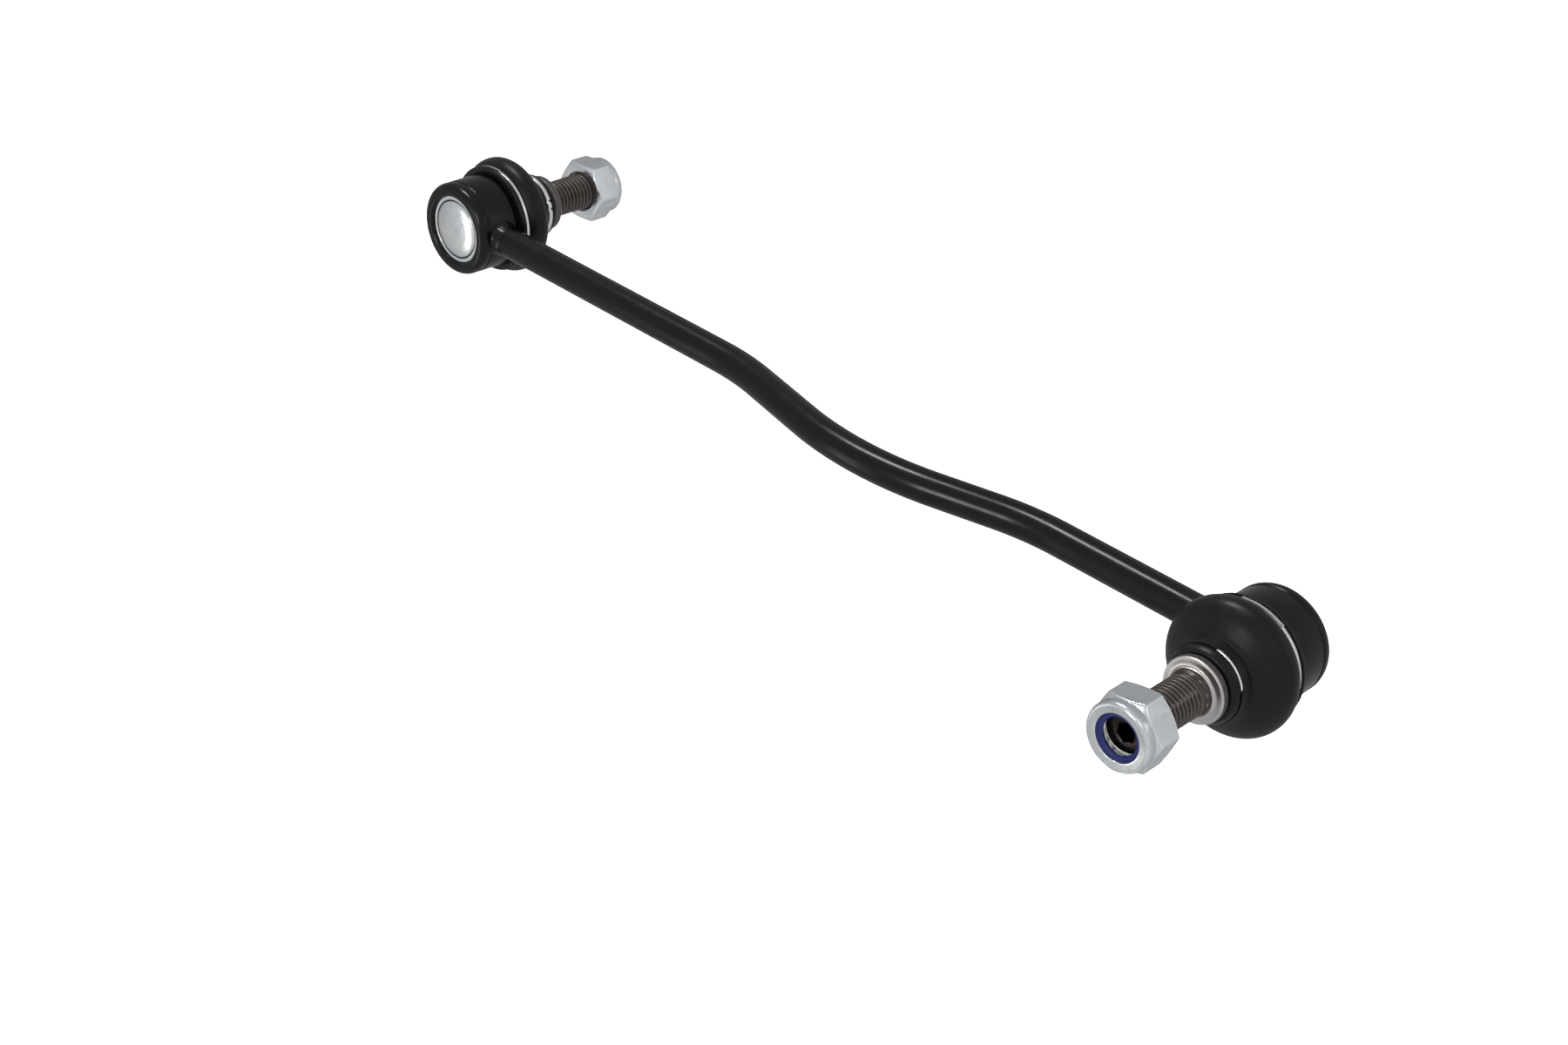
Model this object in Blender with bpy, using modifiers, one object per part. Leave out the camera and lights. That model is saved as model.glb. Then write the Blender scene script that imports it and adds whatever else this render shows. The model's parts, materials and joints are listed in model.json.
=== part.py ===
"""Anti-roll bar drop link: a bowed rod with a ball joint welded to each end.

Metres, +Z up. +X runs along the link from the left joint to the right one.
The left stud points along +Y and the right stud along -Y.
Profiles are written in millimetres as (radius, height), where height is
measured from the rod's centre line along the stud, towards its tip.
"""
import math

import bmesh
import bpy
from mathutils import Matrix, Vector

MM = 0.001
GAP = 0.3  # clearance left between neighbouring pieces

# Link
CENTRES = 310.5  # rod-axis distance between the two stud axes
ROD_R = 4.95
BOW_START = -31.0  # where the straight left run ends, from mid-link
BOW_PEAK = 27.1
BOW_END = 80.1
BOW_DEPTH = 14.2  # before the corners are rounded
BOW_R_ENDS = 80.0
BOW_R_PEAK = 100.0

# Housing
HOUSING_R = 15.2
HOUSING_REAR = -8.95
HOUSING_FRONT = 11.0
BORE_R = 11.9
THROAT_R = 8.0
MOUTH_R = 10.2
GROOVE_R = 13.2
LIP_R = 11.05  # inner edge of the lip that is rolled over the cap

# Ball joint
BALL_H = 1.0  # ball centre above the rod's centre line
BALL_R = 8.0
NECK_R = 4.2
SHANK_R = 7.0
COLLAR_R = 9.1
COLLAR_BACK = 27.6
COLLAR_FACE = 30.0
STEP_R = 7.2
THREAD_R = 6.0
THREAD_START = 33.6
STUD_TIP = 57.0
SOCKET_AF = 5.0
SOCKET_DEPTH = 5.0
SOCKET_TURN = 26.25  # degrees

# Boot
BOOT_R = 19.05
BOOT_FOOT = 6.3
BOOT_LIP = 27.0

# Nut
NUT_AF = 19.0
NUT_H = 11.35
NUT_HEX_H = 8.3
NUT_RIM_R = 9.45
NUT_SEAT_LEFT = 45.6  # bearing face of the left nut
NUT_SEAT_RIGHT = 49.3
NUT_TURN_LEFT = 59.0  # degrees
NUT_TURN_RIGHT = 9.0

STEPS = 32
ROD_Y = (NUT_SEAT_RIGHT + NUT_H - STUD_TIP) / 2  # puts the origin mid-way between the two tips

ENDS = {"left": (-CENTRES / 2, 1), "right": (CENTRES / 2, -1)}

for old in list(bpy.data.objects):
    bpy.data.objects.remove(old, do_unlink=True)

link = bpy.data.collections.new("anti_roll_bar_link")
bpy.context.scene.collection.children.link(link)
cutters = bpy.data.collections.new("cutters")
cutters.hide_render = True
bpy.context.scene.collection.children.link(cutters)


def material(name, colour, roughness, metallic):
    made = bpy.data.materials.new(name)
    made.use_nodes = True
    shader = made.node_tree.nodes["Principled BSDF"]
    shader.inputs["Base Color"].default_value = (*colour, 1)
    shader.inputs["Roughness"].default_value = roughness
    shader.inputs["Metallic"].default_value = metallic
    made.diffuse_color = (*colour, 1)
    return made


PAINT = material("black_paint", (0.018, 0.017, 0.020), 0.32, 0.0)
WELD = material("painted_weld", (0.020, 0.019, 0.022), 0.42, 0.0)
ZINC_CAP = material("zinc_cap", (0.62, 0.65, 0.68), 0.32, 1.0)
ZINC_NUT = material("zinc_nut", (0.56, 0.59, 0.62), 0.38, 1.0)
ACETAL = material("acetal", (0.78, 0.77, 0.72), 0.45, 0.0)
STUD = material("phosphated_steel", (0.13, 0.11, 0.10), 0.45, 0.9)
RUBBER = material("black_rubber", (0.016, 0.015, 0.017), 0.55, 0.0)
SPRING = material("ring_steel", (0.68, 0.68, 0.67), 0.25, 1.0)
NYLON = material("blue_nylon", (0.01, 0.035, 0.22), 0.40, 0.0)


def add(name, mesh, where, mat, at=(0, 0, 0), turn=None):
    obj = bpy.data.objects.new(name, mesh)
    where.objects.link(obj)
    obj.location = at
    if turn is not None:
        obj.rotation_euler = turn
    if mat:
        obj.data.materials.append(mat)
    if where is cutters:
        obj.hide_render = True
        obj.display_type = "WIRE"
    return obj


def joint_place(end):
    """Ball centre of one end, and the turn that lays local +Z along its stud."""
    x, way = ENDS[end]
    at = Vector((x * MM, (ROD_Y + way * BALL_H) * MM, 0))
    return at, (-way * math.pi / 2, 0, 0)


def lathe(name, outer, inner, end, mat, where=link, steps=STEPS):
    """Turned piece. outer and inner both run from rear to front; inner is None when solid."""
    mesh = bpy.data.meshes.new(name)
    loop = list(reversed(outer)) + (list(inner) if inner else [])
    points = [(r * MM, 0, (h - BALL_H) * MM) for r, h in loop]
    count = len(points)
    edges = [(i, i + 1) for i in range(count - 1)]
    if inner:
        edges.append((count - 1, 0))
    mesh.from_pydata(points, edges, [])
    at, turn = joint_place(end)
    obj = add(name, mesh, where, mat, at, turn)
    screw = obj.modifiers.new("turn", "SCREW")
    screw.axis = "Z"
    screw.angle = 2 * math.pi
    screw.steps = steps
    screw.render_steps = steps
    screw.use_merge_vertices = True
    screw.merge_threshold = 0.00001
    screw.use_smooth_shade = True
    return obj


def prism(name, across, low, high, end, turn_deg, where, mat=None):
    """Six-sided prism on the stud axis."""
    mesh = bpy.data.meshes.new(name)
    radius = across / math.sqrt(3)
    rings = [
        [
            (
                radius * MM * math.cos(math.radians(turn_deg + 60 * k)),
                radius * MM * math.sin(math.radians(turn_deg + 60 * k)),
                (h - BALL_H) * MM,
            )
            for k in range(6)
        ]
        for h in (low, high)
    ]
    faces = [(k, (k + 1) % 6, 6 + (k + 1) % 6, 6 + k) for k in range(6)]
    faces += [tuple(reversed(range(6))), tuple(range(6, 12))]
    mesh.from_pydata(rings[0] + rings[1], [], faces)
    at, turn = joint_place(end)
    return add(name, mesh, where, mat, at, turn)


def boolean(obj, other, operation="DIFFERENCE"):
    cut = obj.modifiers.new(operation.lower(), "BOOLEAN")
    cut.operation = operation
    cut.solver = "EXACT"
    cut.object = other
    return cut


def arc(centre_r, centre_h, radius, start, stop, count):
    """Points on a circle in the (radius, height) plane; angles from the +height pole."""
    found = []
    for i in range(count + 1):
        a = math.radians(start + (stop - start) * i / count)
        found.append((centre_r + radius * math.sin(a), centre_h + radius * math.cos(a)))
    return found


def rounded_path(corners, radii, step_deg=3.0):
    """Polyline through corners with an arc at each inner one."""
    path = [Vector(corners[0])]
    for before, corner, after, radius in zip(corners, corners[1:], corners[2:], radii):
        before, corner, after = Vector(before), Vector(corner), Vector(after)
        a = (before - corner).normalized()
        b = (after - corner).normalized()
        angle = a.angle(b)
        reach = radius / math.tan(angle / 2)
        middle = corner + (a + b).normalized() * radius / math.sin(angle / 2)
        first, last = corner + a * reach, corner + b * reach
        sweep = math.pi - angle
        count = max(3, round(math.degrees(sweep) / step_deg))
        u = (first - middle).normalized()
        v = (last - middle - u * (last - middle).dot(u)).normalized()
        path += [
            middle + radius * (u * math.cos(sweep * i / count) + v * math.sin(sweep * i / count))
            for i in range(count + 1)
        ]
    return path + [Vector(corners[-1])]


def tube(name, path, radius, mat):
    curve = bpy.data.curves.new(name + "_path", "CURVE")
    curve.dimensions = "3D"
    curve.bevel_depth = radius * MM
    curve.bevel_resolution = 4
    curve.use_fill_caps = True
    spline = curve.splines.new("POLY")
    spline.points.add(len(path) - 1)
    for point, place in zip(spline.points, path):
        point.co = (*(place * MM), 1)
    guide = bpy.data.objects.new(name + "_guide", curve)
    bpy.context.scene.collection.objects.link(guide)
    bpy.context.view_layer.update()
    graph = bpy.context.evaluated_depsgraph_get()
    mesh = bpy.data.meshes.new_from_object(guide.evaluated_get(graph))
    bpy.data.objects.remove(guide, do_unlink=True)
    work = bmesh.new()
    work.from_mesh(mesh)
    bmesh.ops.remove_doubles(work, verts=work.verts, dist=1e-6)
    bmesh.ops.recalc_face_normals(work, faces=work.faces)
    work.to_mesh(mesh)
    work.free()
    for face in mesh.polygons:
        face.use_smooth = True
    mesh.set_sharp_from_angle(angle=math.radians(40))
    return add(name, mesh, link, mat)


def cross_cutter(name, radius, end):
    """Cylinder along the stud axis that shapes whatever meets the housing's side."""
    return lathe(name, [(0, -20), (radius, -20), (radius, 20), (0, 20)], None, end, None, cutters)


# Rod, coped to sit against both housings
half = CENTRES / 2
rod = tube(
    "link_rod",
    rounded_path(
        [
            (-half + 8, ROD_Y, 0),
            (BOW_START, ROD_Y, 0),
            (BOW_PEAK, ROD_Y - BOW_DEPTH, 0),
            (BOW_END, ROD_Y, 0),
            (half - 8, ROD_Y, 0),
        ],
        [BOW_R_ENDS, BOW_R_PEAK, BOW_R_ENDS],
    ),
    ROD_R,
    PAINT,
)
for end in ENDS:
    boolean(rod, cross_cutter("cope_" + end, HOUSING_R + GAP, end))

for end, (x, way) in ENDS.items():
    # Weld bead round the rod, against the housing's side
    bead_mesh = bpy.data.meshes.new("weld_bead_" + end)
    bead_points = [(ROD_R + GAP, 12.0), (6.0, 12.0), (6.0, 16.0), (5.9, 16.8), (5.6, 17.3), (ROD_R + GAP, 17.5)]
    bead_mesh.from_pydata(
        [(r * MM, 0, h * MM) for r, h in reversed(bead_points)],
        [(i, (i + 1) % len(bead_points)) for i in range(len(bead_points))],
        [],
    )
    bead = add("weld_bead_" + end, bead_mesh, link, WELD, (x * MM, ROD_Y * MM, 0), (0, way * math.pi / 2, 0))
    screw = bead.modifiers.new("turn", "SCREW")
    screw.axis = "Z"
    screw.steps = 28
    screw.render_steps = 28
    screw.use_merge_vertices = True
    screw.merge_threshold = 0.00001
    screw.use_smooth_shade = True
    boolean(bead, bpy.data.objects["cope_" + end])

    # Housing: rear lip rolled over the cap, boot groove and flared mouth at the front
    lathe(
        "housing_" + end,
        [
            (LIP_R, -7.9),
            (LIP_R, -8.4),
            (11.6, -8.8),
            (12.7, HOUSING_REAR),
            (13.9, -8.75),
            (14.8, -8.1),
            (HOUSING_R, -7.0),
            (HOUSING_R, -5.6),
            (14.85, -5.3),
            (14.85, -4.7),
            (HOUSING_R, -4.4),
            (HOUSING_R, 5.3),
            (14.7, 6.0),
            (GROOVE_R, 6.45),
            (GROOVE_R, 9.6),
            (14.0, 9.9),
            (14.0, 10.6),
            (13.6, HOUSING_FRONT),
            (MOUTH_R, HOUSING_FRONT),
        ],
        [
            (BORE_R, -7.9),
            (BORE_R, 3.53),
            (9.2, 6.2),
            (THROAT_R, 6.2),
            (THROAT_R, 7.0),
        ],
        end,
        PAINT,
    )

    # Pressed cap that closes the rear of the housing
    lathe(
        "closing_cap_" + end,
        [(0, -8.95), (4.0, -8.85), (7.5, -8.5), (9.6, -8.05), (10.0, -7.75), (10.6, -7.75), (11.2, -7.6), (11.6, -7.2), (11.6, -6.5), (6.0, -6.5), (4.6, -7.4), (0, -7.4)],
        None,
        end,
        ZINC_CAP,
    )

    # Bearing cup between ball and housing
    seat_r = BALL_R + GAP
    rear_angle = math.degrees(math.acos((-6.2 - BALL_H) / seat_r))
    front_angle = math.degrees(math.acos(4.4 / seat_r))
    lathe(
        "ball_seat_" + end,
        [(11.2, -6.2), (11.6, -5.8), (11.6, 3.4), (9.0, 5.9), (7.7, 5.9)],
        arc(0, BALL_H, seat_r, rear_angle, front_angle, 9),
        end,
        ACETAL,
    )

    # Ball stud: ball, neck, shank under the boot, collar, step and thread
    neck_angle = math.degrees(math.asin(NECK_R / BALL_R))
    stud = lathe(
        "ball_stud_" + end,
        [(0, BALL_H - math.sqrt(BALL_R**2 - 2.0**2))]
        + arc(0, BALL_H, BALL_R, 180 - math.degrees(math.asin(2.0 / BALL_R)), neck_angle, 10)
        + [
            (4.1, 9.5),
            (4.3, 12.0),
            (5.0, 15.0),
            (6.1, 18.0),
            (6.9, 20.0),
            (SHANK_R, 20.8),
            (SHANK_R, 27.1),
            (8.8, 27.3),
            (COLLAR_R, COLLAR_BACK),
            (COLLAR_R, 29.65),
            (8.75, COLLAR_FACE),
            (STEP_R, COLLAR_FACE),
            (STEP_R, 30.8),
            (6.9, 31.1),
            (5.6, 31.7),
            (5.3, 32.4),
            (5.3, 32.9),
            (THREAD_R, THREAD_START),
            (THREAD_R, 56.0),
            (5.1, STUD_TIP),
            (0, STUD_TIP),
        ],
        None,
        end,
        STUD,
    )
    boolean(stud, prism("socket_" + end, SOCKET_AF, STUD_TIP - SOCKET_DEPTH, STUD_TIP + 2, end, SOCKET_TURN, cutters))

    # Rubber boot: foot in the housing groove, bulge, ring groove and lip on the shank
    lathe(
        "dust_boot_" + end,
        [
            (15.3, 6.5),
            (16.2, BOOT_FOOT),
            (17.1, 6.45),
            (17.4, 7.0),
            (17.25, 7.45),
            (16.1, 7.5),
            (16.1, 9.4),
            (17.0, 9.45),
            (18.1, 10.6),
            (18.8, 12.1),
            (BOOT_R, 13.9),
            (18.75, 15.7),
            (17.8, 17.4),
            (16.0, 19.1),
            (13.6, 20.6),
            (11.6, 21.7),
            (10.9, 22.3),
            (9.6, 22.4),
            (9.6, 24.7),
            (10.6, 24.8),
            (10.5, 25.7),
            (10.0, 26.6),
            (9.4, BOOT_LIP),
            (7.6, BOOT_LIP),
        ],
        [
            (13.5, 6.9),
            (13.5, 9.25),
            (14.3, 9.6),
            (14.6, 11.0),
            (16.4, 11.4),
            (17.3, 12.4),
            (17.6, 13.9),
            (17.3, 15.3),
            (16.4, 16.5),
            (14.8, 17.9),
            (12.4, 19.3),
            (10.0, 20.5),
            (8.3, 21.4),
            (7.3, 22.4),
            (7.3, 26.7),
        ],
        end,
        RUBBER,
        steps=36,
    )

    # Wire rings that hold the boot at its foot and at its neck
    foot_ring = [(16.4, 7.8), (17.1, 7.8), (17.3, 8.0), (17.3, 8.9), (17.1, 9.1), (16.4, 9.1)]
    lathe("foot_ring_" + end, foot_ring, [(16.4, 8.3), (16.4, 8.6)], end, SPRING, steps=36)
    neck_ring = [(9.9, 22.75), (10.6, 22.75), (10.9, 23.0), (10.9, 24.2), (10.6, 24.45), (9.9, 24.45)]
    lathe("neck_ring_" + end, neck_ring, [(9.9, 23.3), (9.9, 23.9)], end, SPRING)

    # Lock nut: chamfered hexagon, crimped rim, groove for the insert
    seat = NUT_SEAT_LEFT if end == "left" else NUT_SEAT_RIGHT
    turn_deg = NUT_TURN_LEFT if end == "left" else NUT_TURN_RIGHT
    nut = lathe(
        "lock_nut_" + end,
        [
            (6.9, seat),
            (9.2, seat),
            (11.3, seat + 1.2),
            (11.3, seat + 7.2),
            (NUT_RIM_R, NUT_HEX_H + seat),
            (NUT_RIM_R, seat + 10.95),
            (9.1, seat + NUT_H),
            (6.6, seat + NUT_H),
            (6.3, seat + 11.1),
        ],
        [
            (THREAD_R + GAP, seat + 0.6),
            (THREAD_R + GAP, seat + 8.2),
            (8.2, seat + 8.2),
            (8.2, seat + 10.7),
            (6.3, seat + 10.7),
        ],
        end,
        ZINC_NUT,
        steps=36,
    )
    hexagon = prism("hexagon_" + end, NUT_AF, seat - 1, seat + NUT_H + 1, end, turn_deg, cutters)
    boolean(nut, hexagon, "INTERSECT")

    # Locking ring held in the nut; the left stud already passes through its ring
    bore = THREAD_R + GAP if end == "left" else 5.1
    lathe(
        "nut_insert_" + end,
        [(bore, seat + 8.6), (7.9, seat + 8.6), (7.9, seat + 10.4), (bore + 0.5, seat + 10.4)],
        [(bore, seat + 9.2), (bore, seat + 9.7)],
        end,
        NYLON,
        steps=28,
    )
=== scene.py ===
"""Looks for the anti-roll bar drop link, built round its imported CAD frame.

Pieces are modelled in millimetres in each ball joint's own frame: +Z is the stud
axis, measured from the rod's centre line, and every height below is on that axis.
"""
import json
import math

import bmesh
import bpy
import numpy as np
from mathutils import Matrix, Vector


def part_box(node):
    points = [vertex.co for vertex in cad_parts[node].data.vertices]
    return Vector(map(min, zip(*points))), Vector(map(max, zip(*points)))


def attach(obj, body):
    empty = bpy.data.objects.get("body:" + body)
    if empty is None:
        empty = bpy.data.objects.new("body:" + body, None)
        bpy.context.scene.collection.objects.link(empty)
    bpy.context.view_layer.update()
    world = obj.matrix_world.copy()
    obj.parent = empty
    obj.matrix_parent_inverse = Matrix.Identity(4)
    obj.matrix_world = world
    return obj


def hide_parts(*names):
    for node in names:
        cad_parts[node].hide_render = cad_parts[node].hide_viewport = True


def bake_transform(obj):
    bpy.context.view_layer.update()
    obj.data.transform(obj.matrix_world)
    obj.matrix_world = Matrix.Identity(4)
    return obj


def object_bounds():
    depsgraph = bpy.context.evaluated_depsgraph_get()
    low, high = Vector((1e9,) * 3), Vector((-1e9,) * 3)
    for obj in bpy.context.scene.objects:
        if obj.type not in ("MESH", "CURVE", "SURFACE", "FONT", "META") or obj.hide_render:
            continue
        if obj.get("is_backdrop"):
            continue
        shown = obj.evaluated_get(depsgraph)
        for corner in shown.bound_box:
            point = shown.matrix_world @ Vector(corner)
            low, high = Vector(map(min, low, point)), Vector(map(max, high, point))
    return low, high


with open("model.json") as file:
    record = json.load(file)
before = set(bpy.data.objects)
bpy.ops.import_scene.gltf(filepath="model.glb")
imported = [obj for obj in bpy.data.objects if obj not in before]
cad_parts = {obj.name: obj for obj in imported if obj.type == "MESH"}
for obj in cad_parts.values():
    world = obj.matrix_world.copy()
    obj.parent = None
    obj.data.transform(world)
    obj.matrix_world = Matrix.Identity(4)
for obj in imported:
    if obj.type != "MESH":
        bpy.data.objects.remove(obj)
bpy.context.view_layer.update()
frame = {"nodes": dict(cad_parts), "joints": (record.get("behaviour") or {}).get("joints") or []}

MM = 0.001
PITCH = 1.5
SEGMENTS = 96
BALL_H = 1.0
JOINTS = {joint["name"]: joint for joint in frame["joints"]}
WAY = {"left": 1, "right": -1}
CENTRE = {}
SEAT = {}
for end, way in WAY.items():
    at = Vector(JOINTS["ball_tilt_up_" + end]["pos_m"])
    CENTRE[end] = Vector((at.x, at.y - way * BALL_H * MM, at.z))
    low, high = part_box("lock_nut_" + end)
    face = low.y if way > 0 else high.y
    SEAT[end] = abs(face - CENTRE[end].y) / MM
NUT_TURN = {"left": 59.0, "right": 9.0}


def place(end):
    """Matrix that lays the joint's own frame into the row frame."""
    if end == "left":
        turn = Matrix(((1, 0, 0), (0, 0, 1), (0, -1, 0)))
    else:
        turn = Matrix(((1, 0, 0), (0, 0, -1), (0, 1, 0)))
    return Matrix.Translation(CENTRE[end]) @ turn.to_4x4()


# ---------------------------------------------------------------- materials


class Nodes:
    """Short forms for building one material's node tree."""

    def __init__(self, name, colour, roughness, metallic, **sockets):
        self.material = bpy.data.materials.new(name)
        self.material.use_nodes = True
        self.tree = self.material.node_tree
        self.shader = self.tree.nodes["Principled BSDF"]
        self.shader.inputs["Base Color"].default_value = (*colour, 1)
        self.shader.inputs["Roughness"].default_value = roughness
        self.shader.inputs["Metallic"].default_value = metallic
        for key, value in sockets.items():
            self.shader.inputs[key.replace("_", " ")].default_value = value
        self.material.diffuse_color = (*colour, 1)
        self.coords = self.tree.nodes.new("ShaderNodeTexCoord").outputs["Object"]
        self.normal = None

    def link(self, a, b):
        self.tree.links.new(a, b)

    def noise(self, scale, detail=3.0, rough=0.55, distortion=0.0, vector=None):
        node = self.tree.nodes.new("ShaderNodeTexNoise")
        node.inputs["Scale"].default_value = scale
        node.inputs["Detail"].default_value = detail
        node.inputs["Roughness"].default_value = rough
        node.inputs["Distortion"].default_value = distortion
        self.link(vector or self.coords, node.inputs["Vector"])
        return node.outputs["Fac"]

    def spots(self, scale, randomness=1.0):
        node = self.tree.nodes.new("ShaderNodeTexVoronoi")
        node.inputs["Scale"].default_value = scale
        node.inputs["Randomness"].default_value = randomness
        self.link(self.coords, node.inputs["Vector"])
        return node.outputs["Distance"]

    def stretched(self, x, y, z):
        node = self.tree.nodes.new("ShaderNodeMapping")
        node.inputs["Scale"].default_value = (x, y, z)
        self.link(self.coords, node.inputs["Vector"])
        return node.outputs["Vector"]

    def rings(self, scale, distortion=0.0):
        """Turning marks round the stud axis."""
        node = self.tree.nodes.new("ShaderNodeTexWave")
        node.wave_type = "RINGS"
        node.rings_direction = "Z"
        node.inputs["Scale"].default_value = scale
        node.inputs["Distortion"].default_value = distortion
        node.inputs["Detail"].default_value = 2.0
        node.inputs["Detail Scale"].default_value = 2.0
        self.link(self.coords, node.inputs["Vector"])
        return node.outputs["Fac"]

    def ramp(self, source, stops):
        node = self.tree.nodes.new("ShaderNodeValToRGB")
        band = node.color_ramp
        while len(band.elements) < len(stops):
            band.elements.new(0.5)
        for element, (at, colour) in zip(band.elements, stops):
            element.position = at
            element.color = (*colour, 1)
        self.link(source, node.inputs["Fac"])
        return node.outputs["Color"]

    def span(self, source, from_low, from_high, low, high):
        node = self.tree.nodes.new("ShaderNodeMapRange")
        for key, value in zip(
            ("From Min", "From Max", "To Min", "To Max"), (from_low, from_high, low, high)
        ):
            node.inputs[key].default_value = value
        self.link(source, node.inputs["Value"])
        return node.outputs["Result"]

    def over(self, mask, below, above):
        """above shows over below where mask is 1."""
        node = self.tree.nodes.new("ShaderNodeMix")
        node.data_type = "RGBA"
        first, second = (
            next(s for s in node.inputs if s.name == key and s.type == "RGBA") for key in "AB"
        )
        self.link(mask, node.inputs[0])
        self.link(below, first)
        if isinstance(above, tuple):
            second.default_value = (*above, 1)
        else:
            self.link(above, second)
        return next(s for s in node.outputs if s.type == "RGBA")

    def edges(self, low=0.51, high=0.56):
        """1 on convex edges."""
        node = self.tree.nodes.new("ShaderNodeNewGeometry")
        return self.span(node.outputs["Pointiness"], low, high, 0.0, 1.0)

    def add(self, a, b, factor):
        node = self.tree.nodes.new("ShaderNodeMath")
        node.operation = "MULTIPLY_ADD"
        self.link(b, node.inputs[0])
        node.inputs[1].default_value = factor
        self.link(a, node.inputs[2])
        return node.outputs["Value"]

    def colour(self, source):
        self.link(source, self.shader.inputs["Base Color"])

    def roughness(self, source):
        self.link(source, self.shader.inputs["Roughness"])

    def bump(self, source, strength, distance_mm):
        node = self.tree.nodes.new("ShaderNodeBump")
        node.inputs["Strength"].default_value = strength
        node.inputs["Distance"].default_value = distance_mm * MM
        self.link(source, node.inputs["Height"])
        if self.normal:
            self.link(self.normal, node.inputs["Normal"])
        self.normal = node.outputs["Normal"]
        self.link(self.normal, self.shader.inputs["Normal"])


def paint(name, base, tint, rough_low, rough_high, peel):
    """Dip-coated black: a soft orange peel, slight mottling and a few dust specks."""
    m = Nodes(name, base, (rough_low + rough_high) / 2, 0.0, Specular_IOR_Level=0.24)
    mottle = m.ramp(m.noise(140, 4), [(0.3, base), (0.7, tint)])
    specks = m.span(m.spots(430), 0.035, 0.012, 0.0, 0.5)
    m.colour(m.over(specks, mottle, (0.045, 0.043, 0.047)))
    m.roughness(m.span(m.noise(260, 5), 0.3, 0.7, rough_low, rough_high))
    m.bump(m.noise(900, 2), peel, 0.02)
    m.bump(m.noise(170, 2), peel * 0.8, 0.05)
    return m.material


PAINT = paint("rod_coating", (0.0028, 0.0025, 0.0032), (0.0050, 0.0044, 0.0058), 0.20, 0.27, 0.05)
HOUSING_PAINT = paint("housing_coating", (0.0030, 0.0027, 0.0033), (0.0054, 0.0048, 0.0058), 0.17, 0.25, 0.10)
WELD_PAINT = paint("weld_coating", (0.0032, 0.0029, 0.0036), (0.0065, 0.0058, 0.0068), 0.18, 0.28, 0.30)


def zinc(name, dark, light, rough_low, rough_high, dents, warm, cool):
    """Barrel-plated zinc: cool and warm clouding, small tumbling dents, and convex edges coloured near white as a
    painted highlight.
    """
    m = Nodes(name, light, (rough_low + rough_high) / 2, 1.0)
    clouds = m.ramp(m.noise(210, 5, 0.6, 0.6), [(0.28, dark), (0.72, light)])
    hue = m.ramp(m.noise(95, 3), [(0.35, cool), (0.65, warm)])
    tinted = m.over(m.span(m.noise(60, 2), 0.3, 0.7, 0.10, 0.42), clouds, hue)
    # Painted highlight: convex edges are coloured near white.
    m.colour(m.over(m.edges(), tinted, (0.86, 0.88, 0.90)))
    m.roughness(m.span(m.noise(430, 5), 0.25, 0.75, rough_low, rough_high))
    m.bump(m.span(m.spots(900), 0.0, 0.16, 0.0, 1.0), dents, 0.02)
    m.bump(m.noise(380, 3), dents * 0.7, 0.02)
    return m.material


ZINC_CAP = zinc("zinc_cap", (0.70, 0.735, 0.75), (0.86, 0.885, 0.90), 0.20, 0.28, 0.07, (0.82, 0.79, 0.74), (0.72, 0.78, 0.82))
ZINC_NUT = zinc("zinc_nut", (0.60, 0.635, 0.65), (0.80, 0.835, 0.85), 0.17, 0.27, 0.16, (0.80, 0.76, 0.75), (0.66, 0.73, 0.77))
ZINC_BORE = zinc("zinc_bore", (0.62, 0.63, 0.62), (0.84, 0.85, 0.84), 0.16, 0.26, 0.06, (0.78, 0.76, 0.72), (0.70, 0.73, 0.76))


def phosphate(name, dark, light, crest_highlight, rough_low, rough_high, metallic=0.85):
    """Brown-grey phosphate over steel, with thread crests and other convex edges coloured lighter as a painted
    highlight.
    """
    m = Nodes(name, dark, (rough_low + rough_high) / 2, metallic)
    body = m.ramp(m.noise(520, 5, 0.6), [(0.3, dark), (0.7, light)])
    # Painted highlight: crests and convex edges take the lighter crest colour.
    m.colour(m.over(m.edges(0.505, 0.58), body, crest_highlight))
    m.roughness(m.span(m.noise(800, 4), 0.3, 0.7, rough_low, rough_high))
    m.bump(m.noise(2600, 3), 0.22, 0.02)
    return m.material


# The third colour of each phosphate is the painted highlight on crests and edges.
THREAD = phosphate("stud_thread", (0.043, 0.036, 0.034), (0.096, 0.080, 0.075), (0.22, 0.19, 0.18), 0.34, 0.46)
COLLAR_SIDE = phosphate("stud_collar_side", (0.030, 0.025, 0.024), (0.075, 0.063, 0.060), (0.40, 0.38, 0.36), 0.36, 0.50)
STUD_BODY = phosphate("stud_body", (0.10, 0.095, 0.09), (0.18, 0.17, 0.16), (0.30, 0.29, 0.27), 0.30, 0.44)


def turned(name, dark, light, rough_low, rough_high, spacing_mm, depth):
    """Lathe-faced steel with concentric tool marks."""
    m = Nodes(name, light, (rough_low + rough_high) / 2, 1.0, Anisotropic=0.8)
    around = m.tree.nodes.new("ShaderNodeTangent")
    around.direction_type = "RADIAL"
    around.axis = "Z"
    m.link(around.outputs["Tangent"], m.shader.inputs["Tangent"])
    marks = m.rings(2 * math.pi / (20 * spacing_mm * MM))
    coarse = m.rings(2 * math.pi / (20 * spacing_mm * 3.7 * MM))
    m.colour(m.ramp(m.add(m.noise(150, 3), coarse, 0.10), [(0.3, dark), (0.8, light)]))
    m.roughness(m.span(m.noise(200, 3), 0.3, 0.7, rough_low, rough_high))
    m.bump(marks, depth, 0.004)
    return m.material


# Painted shade: a near-black material laid in the cap's groove, darkening it where shade falls.
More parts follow.
